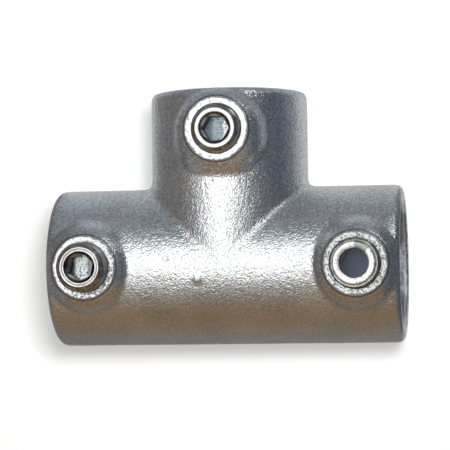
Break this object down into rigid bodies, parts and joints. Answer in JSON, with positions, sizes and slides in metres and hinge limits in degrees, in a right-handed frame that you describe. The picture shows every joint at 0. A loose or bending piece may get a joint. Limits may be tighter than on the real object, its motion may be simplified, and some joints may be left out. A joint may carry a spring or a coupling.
{
  "type": "tube clamp tee fitting",
  "caption": "Cast tube clamp tee: a straight run and a side branch, each socket gripping its tube with a hexagon-socket set screw in a domed boss.",
  "frame": {"origin": "where the axis of the straight run meets the axis of the branch", "axes": "+X along the straight run, +Y along the branch towards its open end, +Z the way the set screws and their bosses face. The part lies on its back, so the surface under it is at z = -27 mm."},
  "size_m": [0.1194, 0.0866, 0.0641],
  "materials": {
    "galvanised_casting": "hot-dip galvanised, slightly rough",
    "plated_screw": "zinc coated"
  },
  "bodies": {
    "casting": {"tee_body": "galvanised_casting"},
    "left_screw": {"set_screw_left": "plated_screw"},
    "right_screw": {"set_screw_right": "plated_screw"},
    "branch_screw": {"set_screw_branch": "plated_screw"}
  },
  "joints": [
    {"name": "left_screw_feed", "type": "slide", "parent": "casting", "child": "left_screw", "axis": [0, 0, -1], "range_m": [-0.00134, 0.00668]},
    {"name": "right_screw_feed", "type": "slide", "parent": "casting", "child": "right_screw", "axis": [0, 0, -1], "range_m": [-0.00267, 0.00535]},
    {"name": "branch_screw_feed", "type": "slide", "parent": "casting", "child": "branch_screw", "axis": [0, 0, -1], "range_m": [-0.00401, 0.00267]}
  ]
}
